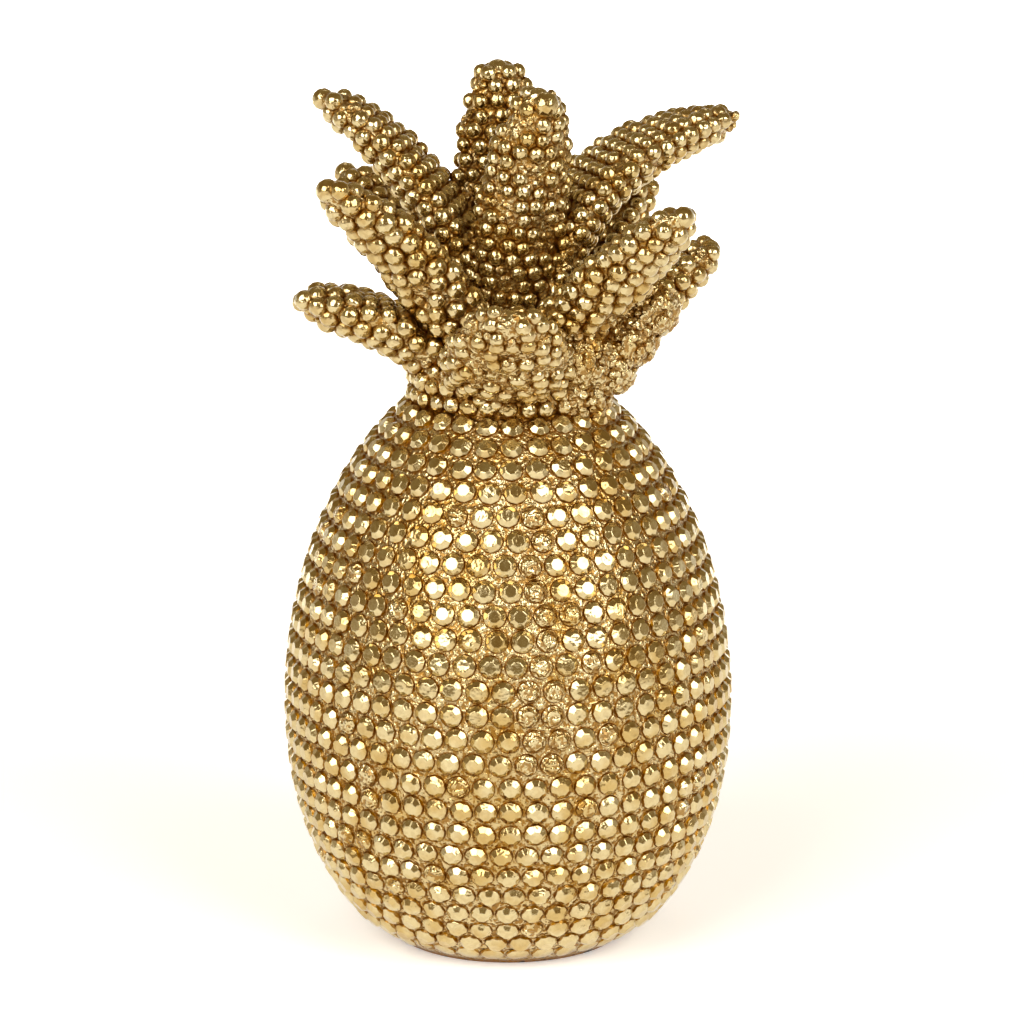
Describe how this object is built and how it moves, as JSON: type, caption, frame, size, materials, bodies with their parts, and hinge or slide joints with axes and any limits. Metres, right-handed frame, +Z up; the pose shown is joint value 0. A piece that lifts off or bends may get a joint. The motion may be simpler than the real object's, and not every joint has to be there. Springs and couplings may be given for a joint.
{
  "type": "pineapple ornament",
  "caption": "Gold table ornament in the shape of a pineapple: an egg-shaped fruit covered in round studs, with a crown of thick beaded leaves.",
  "frame": {"origin": "centre of the flat foot, on the surface that the ornament stands on", "axes": "+Z up through the crown, -Y towards the front"},
  "size_m": [0.1245, 0.1229, 0.24],
  "materials": {
    "gilt_resin": "cast resin with an antique gold leaf finish, dark in the hollows"
  },
  "bodies": {
    "root": {"pineapple": "gilt_resin"}
  },
  "joints": []
}
